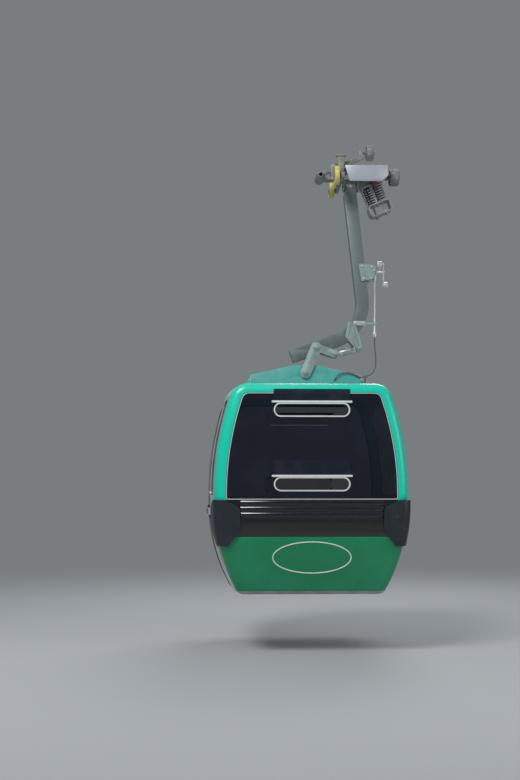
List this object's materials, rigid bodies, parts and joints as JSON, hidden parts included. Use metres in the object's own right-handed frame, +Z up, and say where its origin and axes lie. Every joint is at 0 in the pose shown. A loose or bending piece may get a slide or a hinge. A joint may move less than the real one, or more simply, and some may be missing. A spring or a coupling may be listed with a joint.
{
  "type": "cable car cabin",
  "caption": "Enclosed cable car cabin with end windows, sliding doors and benches, hung by a bent arm and a spring grip from one moving rope.",
  "frame": {"origin": "on the rope's axis in the middle of the grip's jaws", "axes": "+Z up, Y along the rope, +X from the rope towards the hanger arm"},
  "size_m": [2.0274, 1.95, 4.567],
  "materials": {
    "green_paint": "gloss, sun faded",
    "silver_panel": "satin",
    "floor_alloy": "mill finish",
    "roof_alloy": "faded paint",
    "tinted_glass": "tinted",
    "tinted_flap": "tinted",
    "seal_rubber": "matt",
    "white_trim": "matt",
    "belt_black": "gloss ribs over a dull band",
    "bumper_rubber": "matt, scuffed",
    "beam_teal": "faded paint",
    "galvanised": "galvanised",
    "bench_grey": "moulded",
    "damper_silver": "satin",
    "bright_steel": "bright",
    "grip_casting": "painted grey",
    "plate_alloy": "worn bright",
    "post_olive": "dull",
    "cable_black": "sheathed cable",
    "spring_black": "satin",
    "yoke_zinc": "zinc",
    "roller_grey": "worn tread",
    "roller_yellow": "moulded"
  },
  "bodies": {
    "grip": {"grip_body": "grip_casting", "friction_plate": "plate_alloy", "guide_post": "post_olive", "spring_front": "spring_black", "spring_rear": "spring_black", "spring_yoke": "yoke_zinc"},
    "jaw_lever": {"jaw_lever": "grip_casting"},
    "coupling_roller": {"coupling_roller": "roller_grey"},
    "running_roller": {"running_roller": "roller_grey"},
    "guide_roller_front": {"guide_roller_front": "roller_yellow"},
    "guide_roller_rear": {"guide_roller_rear": "roller_yellow"},
    "hanger": {"hanger_arm": "galvanised", "sway_links": "galvanised", "damper": "damper_silver", "damper_bracket": "galvanised", "door_bracket": "galvanised", "rod_guide": "galvanised", "door_lever": "bright_steel", "door_rod": "bright_steel", "door_cable": "cable_black"},
    "cabin": {"beam_cable": "cable_black", "belt_front": "belt_black", "belt_rail_left": "silver_panel", "belt_rail_right": "silver_panel", "belt_rear": "belt_black", "bench_front": "bench_grey", "bench_rear": "bench_grey", "bumper_front_left": "bumper_rubber", "bumper_front_right": "bumper_rubber", "bumper_rear_left": "bumper_rubber", "bumper_rear_right": "bumper_rubber", "cable_clip": "galvanised", "door_glass": "tinted_glass", "door_leaf_front": "silver_panel", "door_leaf_rear": "silver_panel", "floor_pan": "floor_alloy", "frame_front": "green_paint", "frame_rear": "green_paint", "lower_panel_front": "green_paint", "lower_panel_rear": "green_paint", "roof_beam": "beam_teal", "roof_brackets": "galvanised", "roof_lugs": "green_paint", "roof_shell": "roof_alloy", "side_glass_left": "tinted_glass", "side_glass_right": "tinted_glass", "side_wall_left_front": "silver_panel", "side_wall_left_rear": "silver_panel", "side_wall_right": "silver_panel", "vent_flaps_front": "tinted_flap", "vent_flaps_rear": "tinted_flap", "vent_trims_front": "white_trim", "vent_trims_rear": "white_trim", "window_front": "tinted_glass", "window_rear": "tinted_glass", "window_seal_front": "seal_rubber", "window_seal_rear": "seal_rubber"}
  },
  "joints": [
    {"name": "hanger_swing", "type": "hinge", "parent": "grip", "child": "hanger", "pos_m": [0.32, 0, -0.1], "axis": [1, 0, 0], "range_deg": [-20, 20]},
    {"name": "cabin_sway", "type": "hinge", "parent": "hanger", "child": "cabin", "pos_m": [-0.15, 0, -2.015], "axis": [0, 1, 0], "range_deg": [-4, 4], "deforming": ["door_cable"]},
    {"name": "jaw_open", "type": "hinge", "parent": "grip", "child": "jaw_lever", "pos_m": [0.15, 0, 0.105], "axis": [0, 1, 0], "range_deg": [0, 12], "stiffness_Nm_per_rad": 400, "springref_deg": -28.65},
    {"name": "coupling_roller_spin", "type": "hinge", "parent": "jaw_lever", "child": "coupling_roller", "pos_m": [0.52, 0, 0.262], "axis": [1, 0, 0], "continuous": true},
    {"name": "running_roller_spin", "type": "hinge", "parent": "grip", "child": "running_roller", "pos_m": [0.77, 0, 0.011], "axis": [1, 0, 0], "continuous": true},
    {"name": "guide_roller_front_spin", "type": "hinge", "parent": "grip", "child": "guide_roller_front", "pos_m": [0.15, -0.29, -0.047], "axis": [1, 0, 0], "continuous": true},
    {"name": "guide_roller_rear_spin", "type": "hinge", "parent": "grip", "child": "guide_roller_rear", "pos_m": [0.15, 0.29, -0.047], "axis": [1, 0, 0], "continuous": true}
  ]
}
